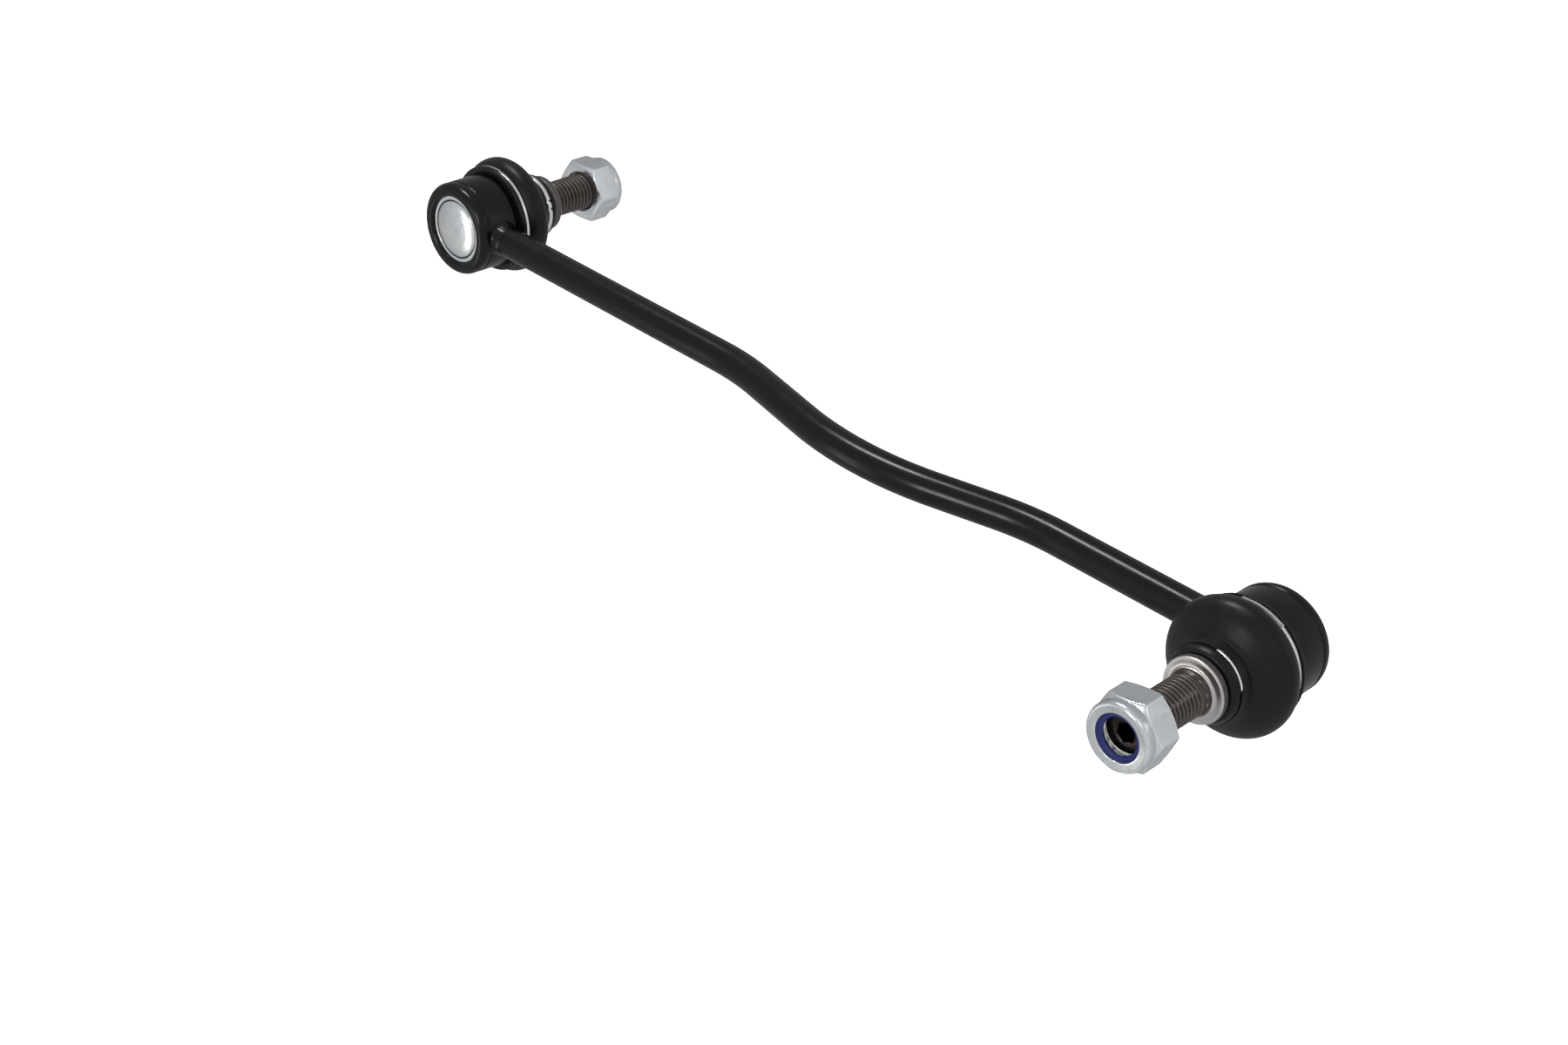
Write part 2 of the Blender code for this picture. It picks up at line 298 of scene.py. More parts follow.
CAP_GROOVE_SHADE = Nodes("cap_groove_painted_shade", (0.03, 0.03, 0.03), 0.6, 0.6)
CAP_GROOVE_SHADE.colour(CAP_GROOVE_SHADE.ramp(CAP_GROOVE_SHADE.noise(500, 3), [(0.3, (0.018, 0.018, 0.018)), (0.7, (0.07, 0.07, 0.07))]))
CAP_GROOVE_SHADE = CAP_GROOVE_SHADE.material
FACED = turned("collar_face_steel", (0.50, 0.475, 0.465), (0.62, 0.60, 0.58), 0.30, 0.36, 0.12, 0.2)
TIP = turned("stud_tip_steel", (0.022, 0.018, 0.016), (0.055, 0.046, 0.042), 0.30, 0.40, 0.2, 0.5)


def rubber():
    m = Nodes("boot_rubber", (0.010, 0.0095, 0.011), 0.40, 0.0, Specular_IOR_Level=0.24, Sheen_Weight=0.02, Sheen_Roughness=0.5)
    m.colour(m.ramp(m.noise(180, 5, 0.6), [(0.3, (0.0028, 0.0027, 0.0030)), (0.7, (0.0054, 0.0051, 0.0056))]))
    m.roughness(m.span(m.noise(330, 5), 0.3, 0.7, 0.30, 0.44))
    m.bump(m.noise(1900, 3), 0.12, 0.012)
    m.bump(m.noise(240, 2), 0.10, 0.04)
    return m.material


def spring_steel():
    m = Nodes("ring_steel", (0.70, 0.70, 0.69), 0.22, 1.0)
    streaks = m.noise(260, 4, 0.6, 0.0, m.stretched(1.0, 1.0, 9.0))
    m.colour(m.ramp(streaks, [(0.3, (0.72, 0.72, 0.71)), (0.7, (0.92, 0.92, 0.91))]))
    m.roughness(m.span(m.noise(500, 3), 0.3, 0.7, 0.16, 0.30))
    m.bump(streaks, 0.15, 0.01)
    return m.material


def nylon():
    m = Nodes("insert_nylon", (0.008, 0.025, 0.20), 0.38, 0.0, Specular_IOR_Level=0.5)
    m.shader.inputs["Subsurface Weight"].default_value = 0.06
    m.shader.inputs["Subsurface Radius"].default_value = (0.0002, 0.0003, 0.0008)
    m.colour(m.ramp(m.noise(420, 4), [(0.3, (0.004, 0.010, 0.095)), (0.7, (0.006, 0.018, 0.150))]))
    m.roughness(m.span(m.noise(600, 3), 0.3, 0.7, 0.32, 0.46))
    m.bump(m.noise(1600, 2), 0.15, 0.02)
    return m.material


def acetal():
    m = Nodes("seat_acetal", (0.78, 0.77, 0.72), 0.42, 0.0)
    m.colour(m.ramp(m.noise(300, 3), [(0.3, (0.74, 0.73, 0.68)), (0.7, (0.82, 0.81, 0.77))]))
    m.roughness(m.span(m.noise(500, 3), 0.3, 0.7, 0.36, 0.48))
    m.bump(m.noise(1400, 2), 0.12, 0.02)
    return m.material


RUBBER, SPRING, NYLON, ACETAL = rubber(), spring_steel(), nylon(), acetal()

# ---------------------------------------------------------------- mesh tools


def soften(points, radius, count=3):
    """Rounds each corner of a profile. A point may carry its own radius as a third number."""
    out = [np.array(points[0][:2], float)]
    for before, here, after in zip(points, points[1:], points[2:]):
        size = here[2] if len(here) > 2 else radius
        a, b, c = (np.array(p[:2], float) for p in (before, here, after))
        la, lc = np.linalg.norm(a - b), np.linalg.norm(c - b)
        reach = min(size, la * 0.42, lc * 0.42)
        if reach < 0.02:
            out.append(b)
            continue
        p, q = b + (a - b) / la * reach, b + (c - b) / lc * reach
        for i in range(count + 1):
            s = i / count
            out.append((1 - s) ** 2 * p + 2 * s * (1 - s) * b + s * s * q)
    out.append(np.array(points[-1][:2], float))
    return [tuple(p) for p in out]


def spline(points, count=4):
    """Catmull-Rom curve through the points."""
    pts = [np.array(p, float) for p in points]
    pts = [2 * pts[0] - pts[1]] + pts + [2 * pts[-1] - pts[-2]]
    out = []
    for i in range(1, len(pts) - 2):
        p0, p1, p2, p3 = pts[i - 1 : i + 3]
        for k in range(count):
            s = k / count
            out.append(
                tuple(0.5 * (2 * p1 + (p2 - p0) * s + (2 * p0 - 5 * p1 + 4 * p2 - p3) * s**2 + (3 * p1 - p0 - 3 * p2 + p3) * s**3))
            )
    out.append(tuple(pts[-2]))
    return out


def surface(rows, closed):
    """Vertices and faces from rows of points round the axis. A one-point row is a pole."""
    vertices, index = [], []
    for row in rows:
        index.append(list(range(len(vertices), len(vertices) + len(row))))
        vertices.extend(row)
    faces = []
    pairs = list(zip(index, index[1:])) + ([(index[-1], index[0])] if closed else [])
    for a, b in pairs:
        n = max(len(a), len(b))
        for j in range(n):
            k = (j + 1) % n
            if len(a) == 1:
                faces.append((a[0], b[k], b[j]))
            elif len(b) == 1:
                faces.append((a[j], a[k], b[0]))
            else:
                faces.append((a[j], a[k], b[k], b[j]))
    return vertices, faces


def revolve(profile, closed=True, segments=SEGMENTS, shape=None):
    """Turned surface. shape(radius, height, angle in degrees) may move a point."""
    rows = []
    for r, t in profile:
        if r < 1e-6:
            rows.append([(0.0, 0.0, t)])
            continue
        row = []
        for j in range(segments):
            deg = 360.0 * j / segments
            rr, tt = shape(r, t, deg) if shape else (r, t)
            row.append((rr * math.cos(math.radians(deg)), rr * math.sin(math.radians(deg)), tt))
        rows.append(row)
    return surface(rows, closed)


def piece(name, made, materials, end=None, zone=None, sharp=35, weighted=False):
    """Object from millimetre vertices, placed in its joint's frame, with smooth shading."""
    vertices, faces = made
    mesh = bpy.data.meshes.new(name)
    mesh.from_pydata([(x * MM, y * MM, z * MM) for x, y, z in vertices], [], faces)
    work = bmesh.new()
    work.from_mesh(mesh)
    bmesh.ops.remove_doubles(work, verts=work.verts, dist=1e-8)
    bmesh.ops.recalc_face_normals(work, faces=work.faces)
    work.to_mesh(mesh)
    work.free()
    for one in materials:
        mesh.materials.append(one)
    for face in mesh.polygons:
        face.use_smooth = True
        if zone:
            c = face.center / MM
            face.material_index = zone(math.hypot(c.x, c.y), c.z)
    mesh.set_sharp_from_angle(angle=math.radians(sharp))
    obj = bpy.data.objects.new(name, mesh)
    bpy.context.scene.collection.objects.link(obj)
    if end:
        obj.matrix_world = place(end)
    if weighted:
        even = obj.modifiers.new("even_normals", "WEIGHTED_NORMAL")
        even.keep_sharp = True
    return obj


def join_rides(obj, body, node):
    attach(obj, body)
    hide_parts(node)
    return obj


# ---------------------------------------------------------------- rod

LEFT, RIGHT = CENTRE["left"], CENTRE["right"]
MIDDLE = (LEFT.x + RIGHT.x) / 2 / MM
HALF = (RIGHT.x - LEFT.x) / 2 / MM
ROD_Y = LEFT.y / MM
ROD_R = 4.95
HOUSING_R = 15.2


def rounded_path(corners, radii, step=1.2):
    path = [Vector(corners[0])]
    for before, corner, after, radius in zip(corners, corners[1:], corners[2:], radii):
        before, corner, after = Vector(before), Vector(corner), Vector(after)
        a, b = (before - corner).normalized(), (after - corner).normalized()
        angle = a.angle(b)
        reach = radius / math.tan(angle / 2)
        middle = corner + (a + b).normalized() * radius / math.sin(angle / 2)
        first, last = corner + a * reach, corner + b * reach
        sweep = math.pi - angle
        count = max(4, round(math.degrees(sweep) / step))
        u = (first - middle).normalized()
        v = (last - middle - u * (last - middle).dot(u)).normalized()
        path += [
            middle + radius * (u * math.cos(sweep * i / count) + v * math.sin(sweep * i / count))
            for i in range(count + 1)
        ]
    return path + [Vector(corners[-1])]


def filled(path, longest):
    """Splits the long straight runs, so that faces stay near square."""
    out = [path[0]]
    for a, b in zip(path, path[1:]):
        parts = max(1, round((b - a).length / longest))
        out += [a.lerp(b, i / parts) for i in range(1, parts + 1)]
    return out


def rod_mesh(sides=56):
    path = filled(
        rounded_path(
            [
                (MIDDLE - HALF + 13.5, ROD_Y, 0),
                (MIDDLE - 31.0, ROD_Y, 0),
                (MIDDLE + 27.1, ROD_Y - 14.2, 0),
                (MIDDLE + 80.1, ROD_Y, 0),
                (MIDDLE + HALF - 13.5, ROD_Y, 0),
            ],
            [80.0, 100.0, 80.0],
        ),
        2.5,
    )
    rows = [[tuple(path[0])]]
    for i, at in enumerate(path):
        along = (path[min(i + 1, len(path) - 1)] - path[max(i - 1, 0)]).normalized()
        side = Vector((-along.y, along.x, 0))
        rows.append(
            [
                tuple(at + ROD_R * (side * math.cos(2 * math.pi * j / sides) + Vector((0, 0, 1)) * math.sin(2 * math.pi * j / sides)))
                for j in range(sides)
            ]
        )
    rows.append([tuple(path[-1])])
    return surface(rows, False)


rod = piece("rod", rod_mesh(), [PAINT])
join_rides(rod, "link", "link_rod")


def bead_mesh(end, sides=112):
    """Fillet weld that wraps from the housing's side on to the rod."""
    way = 1 if end == "left" else -1
    centre = CENTRE[end] / MM
    section = []
    for i in range(11):
        s = i / 10
        a, b, c = np.array((5.98, -0.25)), np.array((5.25, 0.75)), np.array((4.93, 2.9))
        section.append((1 - s) ** 2 * a + 2 * s * (1 - s) * b + s * s * c)
    section += [np.array((4.6, 2.7)), np.array((4.6, -0.3))]
    rows = []
    for k, (rho, out) in enumerate(section):
        row = []
        for j in range(sides):
            a = 2 * math.pi * j / sides
            lump = math.sin(a * 19 + 1.7 * math.sin(2 * a)) * 0.03 + math.sin(a * 5 + 0.8) * 0.05
            weight = math.sin(math.pi * k / 10) if k <= 10 else 0.0
            r = min(rho + lump * weight, 6.0)
            y, z = r * math.cos(a), r * math.sin(a)
            reach = math.sqrt(HOUSING_R**2 - z * z) + out * (1 + 0.10 * math.sin(3 * a + 0.5) * (k > 4))
            row.append((centre.x + way * reach, centre.y + y, centre.z + z))
        rows.append(row)
    return surface(rows, True)


# ---------------------------------------------------------------- stud


def thread_radius(t, turn):
    phase = ((t - 33.0) / PITCH - turn) % 1.0
    x = 2 * abs(phase - 0.5)
    return 5.97 - 0.82 * min(max((x - 0.12) / 0.74, 0.0), 1.0)


def stud_mesh():
    """Turned stud with a true helical thread and a hexagon socket in its tip."""
    n = SEGMENTS
    per = 10
    low, high = 32.4, 56.8
    step = PITCH / per
    first = low - PITCH
    count = int(math.ceil((high - first) / step))

    def helix_point(i, j):
        turn = j / n
        t = first + i * step + turn * PITCH
        ease = min(max((t - 32.6) / 0.8, 0.0), 1.0)
        ease = ease * ease * (3 - 2 * ease)
        limit = min(5.75 + max(t - 32.9, 0.0), 6.0 - max(t - 55.95, 0.0))
        r = 5.75 + (min(thread_radius(t, turn), limit) - 5.75) * ease
        if t < low:
            t = low + (t - low) * 0.08
        if t > high:
            r = 5.15 - (t - high) * 0.04
            t = high + (t - high) * 0.08
        a = 2 * math.pi * turn
        return (r * math.cos(a), r * math.sin(a), t)

    vertices, faces, grid = [], [], {}

    def number(i, j):
        if j == n and i + per <= count:
            i, j = i + per, 0
        if (i, j) not in grid:
            grid[(i, j)] = len(vertices)
            vertices.append(helix_point(i, j))
        return grid[(i, j)]

    for i in range(count):
        for j in range(n):
            faces.append((number(i, j), number(i, j + 1), number(i + 1, j + 1), number(i + 1, j)))

    def ring(r, t):
        start = len(vertices)
        for j in range(n):
            rr = r(360.0 * j / n) if callable(r) else r
            vertices.append((rr * math.cos(2 * math.pi * j / n), rr * math.sin(2 * math.pi * j / n), t))
        return list(range(start, start + n))

    def band(a, b):
        for j in range(n):
            k = (j + 1) % n
            faces.append((a[j], a[k], b[k], b[j]))

    # Ball, neck, shank, collar and undercut
    ball = 8.0
    tail = math.sqrt(ball**2 - 4.0)
    body = [(0.0, BALL_H - tail)]
    start, stop = 180 - math.degrees(math.asin(2.0 / ball)), math.degrees(math.asin(4.2 / ball))
    for i in range(29):
        a = math.radians(start + (stop - start) * i / 28)
        body.append((ball * math.sin(a), BALL_H + ball * math.cos(a)))
    body += soften(
        [
            (4.1, 9.5),
            (4.3, 12.0),
            (5.0, 15.0),
            (6.1, 18.0),
            (6.9, 20.0),
            (7.0, 20.8),
            (7.0, 27.1),
            (8.7, 27.3),
            (9.1, 27.7),
            (9.1, 29.5),
            (8.82, 29.92),
            (8.6, 30.0),
            (7.5, 30.0),
            (7.0, 30.08),
            (6.62, 30.32),
            (6.38, 30.72),
            (6.28, 31.3),
            (6.1, 31.7),
            (5.8, 32.0),
            (5.75, 32.24),
        ],
        0.16,
        2,
    )
    start_pole = len(vertices)
    vertices.append((0.0, 0.0, body[0][1]))
    last = None
    for r, t in body[1:]:
        here = ring(r, t)
        if last is None:
            for j in range(n):
                faces.append((start_pole, here[(j + 1) % n], here[j]))
        else:
            band(last, here)
        last = here
    for j in range(n - 1):
        faces.append((last[j], last[j + 1], number(0, j + 1), number(0, j)))
    spine = [number(i, 0) for i in range(per + 1)]
    faces.append((last[n - 1], last[0], *spine, number(0, n - 1)))

    # Chamfer, tip face and hexagon socket
    tip = ring(5.02, 56.975)
    for j in range(1, n):
        faces.append((number(count, j), number(count, j + 1), tip[(j + 1) % n], tip[j]))
    down = [number(i, n) for i in range(count, count - per, -1)]
    faces.append((number(count, 0), number(count, 1), tip[1], tip[0], *down))
    socket = 26.25

    def hexagon(deg):
        off = (deg - socket + 30.0) % 60.0 - 30.0
        return 2.5 / math.cos(math.radians(30.0 - abs(off)))

    last = tip
    for r, t in (
        (4.94, 57.0),
        (4.3, 57.0),
        (3.7, 56.98),
        (3.15, 56.98),
        (3.02, 56.9),
        (hexagon, 56.72),
        (hexagon, 55.0),
        (hexagon, 52.2),
        (lambda deg: hexagon(deg) * 0.96, 52.0),
    ):
        here = ring(r, t)
        band(last, here)
        last = here
    pole = len(vertices)
    vertices.append((0.0, 0.0, 51.5))
    for j in range(n):
        faces.append((last[j], last[(j + 1) % n], pole))
    return vertices, faces


def stud_zone(r, t):
    if t > 56.9 or (t > 50 and r < 3.2):
        return 3
    if t > 30.75:
        return 0
    if t > 29.45:
        return 1
    if t > 26.9:
        return 2
    return 4


# ---------------------------------------------------------------- nut and insert

NUT_AF = 19.0
CORNER = 0.55


def nut_columns():
    """Angles from a corner, close together where the flats turn into the corner."""
    edge = 30.0 - math.degrees(math.atan((NUT_AF / 2 - CORNER) * math.tan(math.radians(30)) / (NUT_AF / 2)))
    half = [0.0, edge * 0.34, edge * 0.67, edge, edge + 0.5, edge + 2.5, 8.0, 12.0, 16.0, 20.0, 25.0]
    one = half + [30.0] + [60.0 - a for a in reversed(half[1:])]
    return [60.0 * k + a for k in range(6) for a in one]


def hex_radius(from_corner):
    off = abs((from_corner % 60.0) - 30.0)
    u = np.array((math.cos(math.radians(off)), math.sin(math.radians(off))))
    inner = NUT_AF / 2 - CORNER
    corner = np.array((inner, inner * math.tan(math.radians(30))))
    straight = NUT_AF / 2 / math.cos(math.radians(off))
    if straight * u[1] < corner[1]:
        return straight
    along = float(u @ corner)
    return along + math.sqrt(max(CORNER**2 - float(corner @ corner) + along**2, 0.0))


def nut_mesh(end):
    seat, turn = SEAT[end], NUT_TURN[end]
    outer = [
        ("c", 6.9, 0.03),
        ("c", 7.1, 0.0),
        ("c", 9.0, 0.0),
        ("c", 9.15, 0.04),
        ("foot", 0.0, 0.0),
        ("foot", 0.0, 0.12),
        ("top", 0.0, -0.14),
        ("top", 0.0, 0.0),
        ("mid", 0.5, 0.0),
        ("c", 9.36, 8.34),
    ]
    rim = soften(
        [
            (9.36, 8.34),
            (9.34, 8.6),
            (9.45, 9.0),
            (9.45, 10.2),
            (9.33, 10.75),
            (9.05, 11.12),
            (8.86, 11.26),
            (8.76, 11.20),
            (8.66, 11.29),
            (8.45, 11.35),
            (6.75, 11.16),
            (6.46, 11.08),
            (6.42, 10.7),
            (8.2, 10.7),
            (8.2, 8.2),
            (6.45, 8.2),
        ],
        0.18,
        2,
    )[1:]
    outer += [("c", r, u) for r, u in rim]
    if end == "right":
        outer = outer[:-2] + [("c", 8.2, 9.55), ("c", 6.5, 9.55)]
        outer += [("thread", 0.0, 9.5 - 0.1 * i) for i in range(21)]
    u = 7.4
    while u > 1.2:
        outer += [("c", 6.08, u), ("c", 6.08, u - 0.2), ("c", 6.46, u - 0.68), ("c", 6.46, u - 0.88)]
        u -= PITCH
    outer += [("c", 6.2, 0.75)]
    rows = []
    for kind, a, b in outer:
        row = []
        for angle in nut_columns():
            h = hex_radius(angle)
            low = (h - 9.15) * 0.577
            high = 8.34 - (h - 9.36) * 0.62
            if kind == "c":
                r, z = a, b
            elif kind == "thread":
                r, z = max(thread_radius(seat + b, ((angle + turn) % 360.0) / 360.0) + 0.1, 5.3), b
            elif kind == "foot":
                r, z = (h - 0.06, low) if b == 0.0 else (h, low + b)
            elif kind == "top":
                r, z = (h - 0.05, high) if b == 0.0 else (h, high + b)
            else:
                r, z = 9.36 + (h - 9.36) * 0.5, (8.34 + high) / 2 + 0.03
            t = math.radians(angle + turn)
            row.append((r * math.cos(t), r * math.sin(t), seat + z))
        rows.append(row)
    return surface(rows, True)


def insert_mesh(end):
    seat = SEAT[end]
    if end == "right":
        points = [(7.9, 9.65), (7.9, 10.4), (6.5, 10.45), (6.36, 10.98), (6.15, 10.86), (5.98, 10.55), (5.82, 10.44), (5.66, 10.52), (5.5, 10.46), (5.1, 10.12), (4.95, 9.95), (4.95, 9.75), (5.1, 9.65)]
    else:
        points = [(7.9, 8.6), (7.9, 10.4), (6.6, 10.45), (6.36, 10.9), (6.2, 10.86), (6.08, 10.5), (6.06, 8.75), (6.2, 8.6)]
    points = soften(points + [points[0]], 0.12, 2)[:-1]
    return revolve([(r, seat + u) for r, u in points], True, 72)


# ---------------------------------------------------------------- housings, caps, boots, rings

HOUSING = soften(
    [
        (11.9, -7.9),
        (11.08, -7.9),
        (11.05, -8.35),
        (11.6, -8.8),
        (12.7, -8.95, 0.5),
        (13.9, -8.75, 0.5),
        (14.75, -8.1, 0.5),
        (15.2, -7.0, 0.5),
        (15.2, -5.6),
        (14.9, -5.25),
        (14.9, -4.75),
        (15.2, -4.4),
        (15.2, 5.2, 0.4),
        (14.7, 6.0),
        (13.2, 6.45),
        (13.2, 9.6),
        (14.0, 9.9),
        (14.0, 10.6),
        (13.6, 11.0),
        (10.2, 11.0),
        (8.0, 7.0),
        (8.0, 6.2),
        (9.2, 6.2),
        (11.9, 3.53),
        (11.9, -7.9),
    ],
    0.22,
)[:-1]

CAP = soften(
    [
        (0, -8.95),
        (2.2, -8.93),
        (4.0, -8.85),
        (6.0, -8.7),
        (7.5, -8.48),
        (8.7, -8.16),
        (9.3, -7.9),
        (9.5, -7.42),
        (9.72, -7.42),
        (9.86, -7.88),
        (10.95, -7.84),
        (11.3, -7.6),
        (11.6, -7.2),
        (11.6, -6.5),
        (6.0, -6.5),
        (4.6, -7.4),
        (0, -7.4),
    ],
    0.14,
)

SPLIT = 13.2  # where the boot's two halves meet, at its widest
BULGE = spline(
    [(17.0, 9.45), (18.15, 10.4), (18.85, 11.7), (19.05, SPLIT), (18.75, 14.8), (17.75, 16.3), (16.0, 17.7), (13.9, 18.9), (12.1, 19.9), (11.2, 20.7)]
)
HOLLOW = spline([(14.6, 10.8), (16.4, 11.0), (17.3, 11.9), (17.6, SPLIT), (17.3, 14.4), (16.4, 15.5), (14.8, 16.6), (12.6, 17.8), (10.4, 19.0), (8.6, 20.1)])


def split_at(points, height):
    below = [p for p in points if p[1] < height - 0.02]
    above = [p for p in points if p[1] > height + 0.02]
    return below, above


bulge_low, bulge_high = split_at(BULGE, SPLIT)
hollow_low, hollow_high = split_at(HOLLOW, SPLIT)
FOOT = soften([(13.5, 6.9), (15.3, 6.5), (16.2, 6.3, 0.4), (17.15, 6.5, 0.4), (17.5, 7.1, 0.3), (17.4, 7.75), (16.1, 7.8), (16.1, 9.4), (17.0, 9.45)], 0.16)
BOOT_LOW = FOOT[:-1] + bulge_low + [(19.05, SPLIT), (17.6, SPLIT)] + hollow_low[::-1] + [(14.3, 9.6), (13.5, 9.25)]
RING_EDGE = {"left": 22.45, "right": 24.08}  # how far the rubber reaches up over the ring


def boot_high(end):
    """Upper half of the boot, with the groove for its ring and the lip on the shank."""
    edge = RING_EDGE[end]
    neck = soften([(11.2, 20.6), (11.05, edge), (9.6, edge + 0.05), (9.6, 24.7), (10.6, 24.8), (10.5, 25.7), (10.0, 26.6), (9.4, 27.0), (7.6, 27.0), (7.3, 26.7), (7.3, 21.2)], 0.14)
    return [(19.05, SPLIT)] + bulge_high[:-1] + neck + hollow_high[::-1] + [(17.6, SPLIT)]


def creep(end):
    """The rubber closes over the right ring everywhere but on its upper right."""

    def shape(r, t, deg):
        if end == "left" or r < 9.55 or not 23.6 < t < 24.3:
            return r, t
        off = abs((deg - 51.0 + 180.0) % 360.0 - 180.0)
        w = min(max((off - 27.0) / 12.0, 0.0), 1.0)
        return r, min(t + 0.56 * w * w * (3 - 2 * w), 24.62)

    return shape


FOOT_RING = soften([(16.3, 8.45), (16.3, 7.95), (16.95, 7.95), (17.08, 8.1), (17.08, 8.95), (16.95, 9.1), (16.3, 9.1), (16.3, 8.45)], 0.12)[:-1]


NECK_RING = soften([(9.9, 23.6), (9.9, 22.75), (10.6, 22.75), (10.9, 23.0), (10.9, 24.2), (10.6, 24.45), (9.9, 24.45), (9.9, 23.6)], 0.12)[:-1]


TONGUE = {"left": (329.0, 345.0), "right": (205.0, 221.0)}
OVERLAP = {"left": (232.0, 276.0), "right": (59.0, 102.5)}


def overlap_mesh(end):
    """Outer end of the wrapped foot ring, lifted a little at both tips."""
    a0, a1 = OVERLAP[end]
    count = 36
    rows = []
    section = [(17.0, 8.05), (17.26, 8.1), (17.3, 8.5), (17.26, 8.92), (17.0, 8.97)]
    for i in range(count + 1):
        s = i / count
        lift = 0.16 * (math.exp(-((s / 0.06) ** 2)) + math.exp(-(((1 - s) / 0.06) ** 2)))
        a = math.radians(a0 + (a1 - a0) * s)
        rows.append([((r + lift * (r > 17.1)) * math.cos(a), (r + lift * (r > 17.1)) * math.sin(a), t) for r, t in section])
    middle = lambda row: [tuple(np.mean(np.array(row), axis=0))]
    return surface([middle(rows[0])] + rows + [middle(rows[-1])], False)


def neck_shape(end):
    marks = TONGUE[end]

    def shape(r, t, deg):
        if r > 10.2 and any(abs((deg - m + 180) % 360 - 180) < 1.3 for m in marks):
            return r - 0.55, t
        return r, t

    return shape


for end in WAY:
    join_rides(piece("weld_" + end, bead_mesh(end), [WELD_PAINT]), "link", "weld_bead_" + end)
    join_rides(piece("joint_housing_" + end, revolve(HOUSING), [HOUSING_PAINT], end), "link", "housing_" + end)
    # The cap's groove, r 9.42 to 9.78, takes the painted-shade material.
    join_rides(piece("cap_" + end, revolve(CAP, False), [ZINC_CAP, CAP_GROOVE_SHADE], end, lambda r, t: 1 if 9.42 < r < 9.78 and -7.85 < t < -7.3 else 0), "link", "closing_cap_" + end)

    ring = piece("boot_ring_" + end, revolve(FOOT_RING), [SPRING], end)
    join_rides(ring, "link", "foot_ring_" + end)
    tab = piece("boot_ring_end_" + end, overlap_mesh(end), [SPRING], end)
    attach(tab, "link")

    neck = piece("neck_clip_" + end, revolve(NECK_RING, True, 144, neck_shape(end)), [SPRING], end)
    join_rides(neck, "boot_neck_" + end, "neck_ring_" + end)

    low_half = piece("boot_lower_" + end, revolve(BOOT_LOW), [RUBBER], end)
    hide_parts("dust_boot_" + end)
    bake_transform(low_half)
    high_half = piece("boot_upper_" + end, revolve(boot_high(end), True, SEGMENTS, creep(end)), [RUBBER], end)
    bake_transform(high_half)

    stud = piece("stud_" + end, stud_mesh(), [THREAD, FACED, COLLAR_SIDE, TIP, STUD_BODY], end, stud_zone, 40)
    join_rides(stud, "stud_" + end, "ball_stud_" + end)

    seat = SEAT[end]
    nut = piece(
        "nut_" + end,
        nut_mesh(end),
        [ZINC_NUT, ZINC_BORE],
        end,
        lambda r, t, seat=seat: 1 if r < 6.5 and 0.6 < t - seat < 9.56 else 0,
        38,
        True,
    )
    join_rides(nut, "nut_" + end, "lock_nut_" + end)
    collar = piece("nut_collar_" + end, insert_mesh(end), [NYLON], end)
    join_rides(collar, "insert_" + end, "nut_insert_" + end)

    # The bearing cup is hidden inside the housing and keeps its CAD shape
    cup = frame["nodes"]["ball_seat_" + end]
    cup.data.materials.clear()
    cup.data.materials.append(ACETAL)

# ---------------------------------------------------------------- studio

world = bpy.data.worlds.new("studio")
bpy.context.scene.world = world
world.use_nodes = True
sky = world.node_tree.nodes["Background"]
sky.inputs["Color"].default_value = (0.97, 0.985, 1.0, 1)
# Brighter towards the front right, dimmer behind on the left
where = world.node_tree.nodes.new("ShaderNodeTexCoord")
facing = world.node_tree.nodes.new("ShaderNodeVectorMath")
facing.operation = "DOT_PRODUCT"
facing.inputs[1].default_value = (0.62, -0.55, 0.10)
level = world.node_tree.nodes.new("ShaderNodeMapRange")
for key, value in (("From Min", -0.85), ("From Max", 0.85), ("To Min", 0.34), ("To Max", 0.74)):
    level.inputs[key].default_value = value
world.node_tree.links.new(where.outputs["Generated"], facing.inputs[0])
world.node_tree.links.new(facing.outputs["Value"], level.inputs["Value"])
world.node_tree.links.new(level.outputs["Result"], sky.inputs["Strength"])


def softbox(name, at, aim, wide, tall, power, colour=(1, 1, 1)):
    light = bpy.data.lights.new(name, "AREA")
    light.shape = "RECTANGLE"
    light.size, light.size_y = wide, tall
    light.energy = power
    light.color = colour
    lamp = bpy.data.objects.new(name, light)
    lamp.visible_camera = False
    bpy.context.scene.collection.objects.link(lamp)
    lamp.location = at
    back = (Vector(at) - Vector(aim)).normalized()
    across = Vector((1, 0, 0))
    across = (across - back * across.dot(back)).normalized()
    up = back.cross(across)
    lamp.matrix_world = Matrix.Translation(Vector(at)) @ Matrix((across, up, back)).transposed().to_4x4()
    return lamp


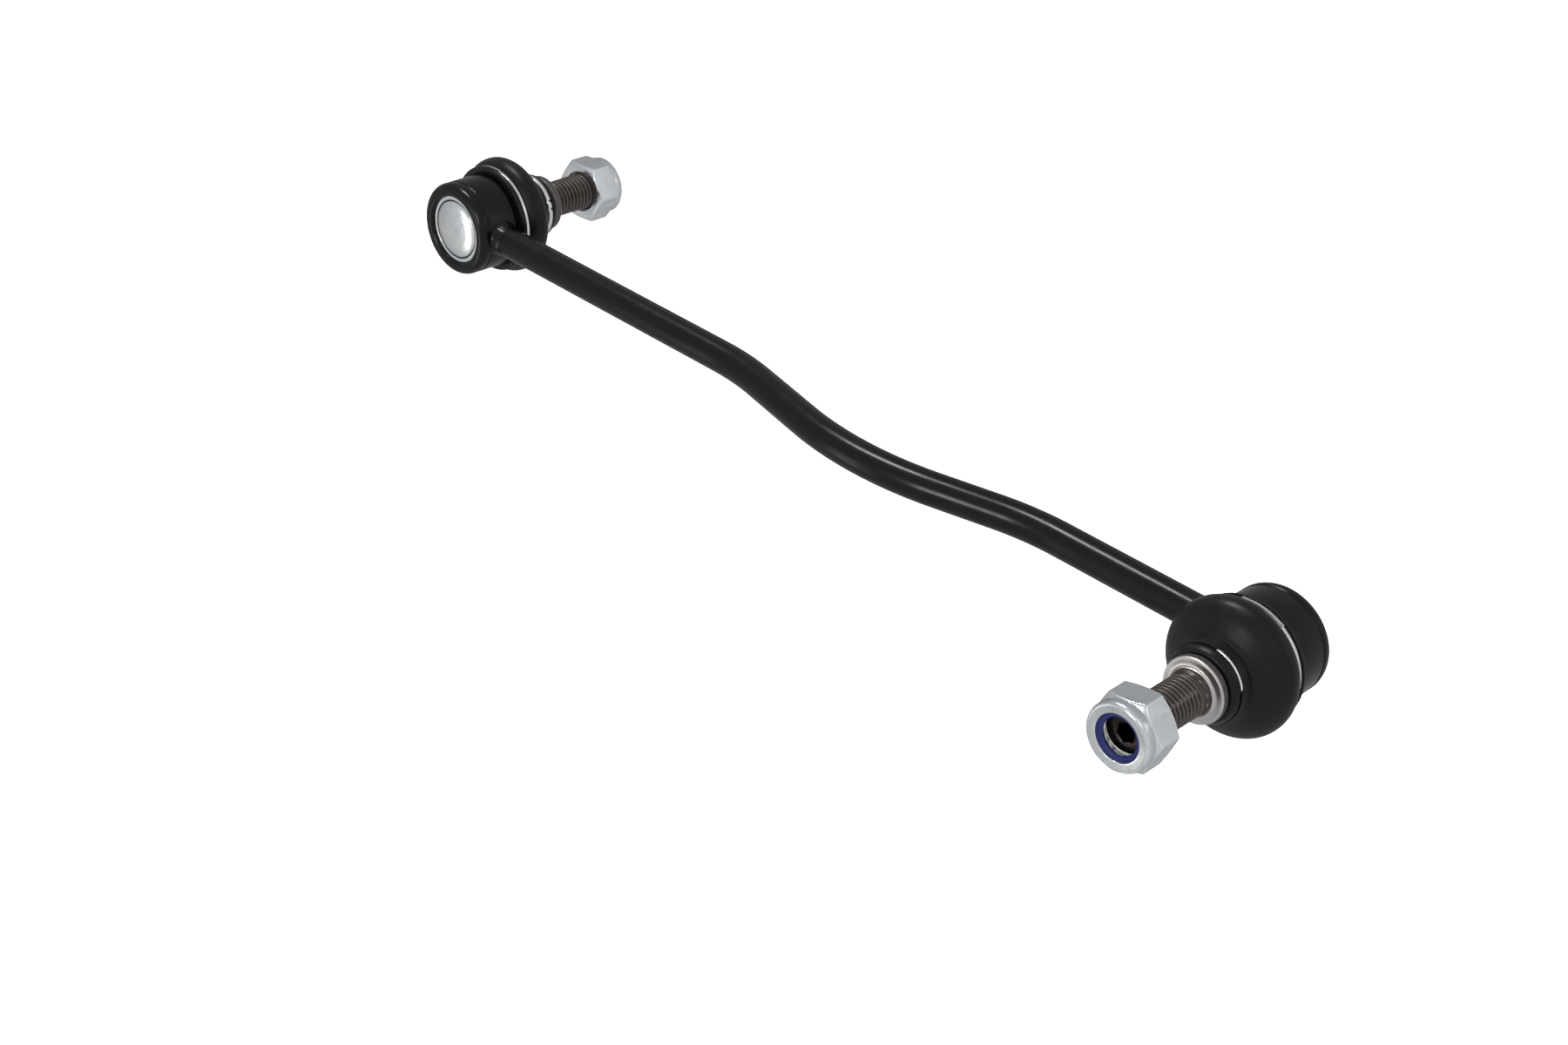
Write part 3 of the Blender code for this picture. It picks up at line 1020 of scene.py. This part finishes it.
softbox("overhead_strip", (-0.47, -0.075, 1.0), (0.07, 0, 0), 0.34, 0.14, 5.4)
softbox("front_card", (-0.03, -1.0, 0.21), (0.06, 0, 0), 0.08, 0.30, 1.9)
softbox("cap_card", (-0.60, -0.86, -0.32), (-0.15, 0, 0), 0.20, 0.7, 1.0, (1.0, 0.98, 0.94))
softbox("rim_card", (0.95, 0.62, 0.62), (0, 0, 0), 0.4, 0.4, 0.35)
softbox("key", (0.85, -0.85, 1.0), (0, 0, 0), 0.5, 0.5, 0.7)

floor_mesh = bpy.data.meshes.new("floor")
floor_mesh.from_pydata([(-6, -6, 0), (6, -6, 0), (6, 6, 0), (-6, 6, 0)], [], [(0, 1, 2, 3)])
floor = bpy.data.objects.new("floor", floor_mesh)
bpy.context.scene.collection.objects.link(floor)
floor.location = (0, 0, -0.25)
pale = bpy.data.materials.new("floor_white")
pale.use_nodes = True
pale_shader = pale.node_tree.nodes["Principled BSDF"]
pale_shader.inputs["Base Color"].default_value = (0.9, 0.9, 0.9, 1)
pale_shader.inputs["Roughness"].default_value = 0.9
pale_shader.inputs["Emission Color"].default_value = (1, 1, 1, 1)
pale_shader.inputs["Emission Strength"].default_value = 1.1
floor_mesh.materials.append(pale)
floor.visible_glossy = False
floor.visible_diffuse = False
floor.visible_shadow = False
floor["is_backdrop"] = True

camera_data = bpy.data.cameras.new("camera")
camera = bpy.data.objects.new("camera", camera_data)
bpy.context.scene.collection.objects.link(camera)
right = Vector((0.71327612, 0.69546668, 0.08696713))
down = Vector((0.41619454, -0.32044363, -0.85093947))
forward = Vector((-0.56393198, 0.64315005, -0.51801422))
camera.matrix_world = Matrix.Translation((0.39410, -0.457345, 0.32696)) @ Matrix((right, -down, -forward)).transposed().to_4x4()
camera_data.sensor_width = 36
camera_data.lens = 54.51
camera_data.clip_start, camera_data.clip_end = 0.01, 20
bpy.context.scene.camera = camera
bpy.context.scene.view_settings.view_transform = "Standard"

bpy.context.view_layer.update()
low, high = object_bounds()
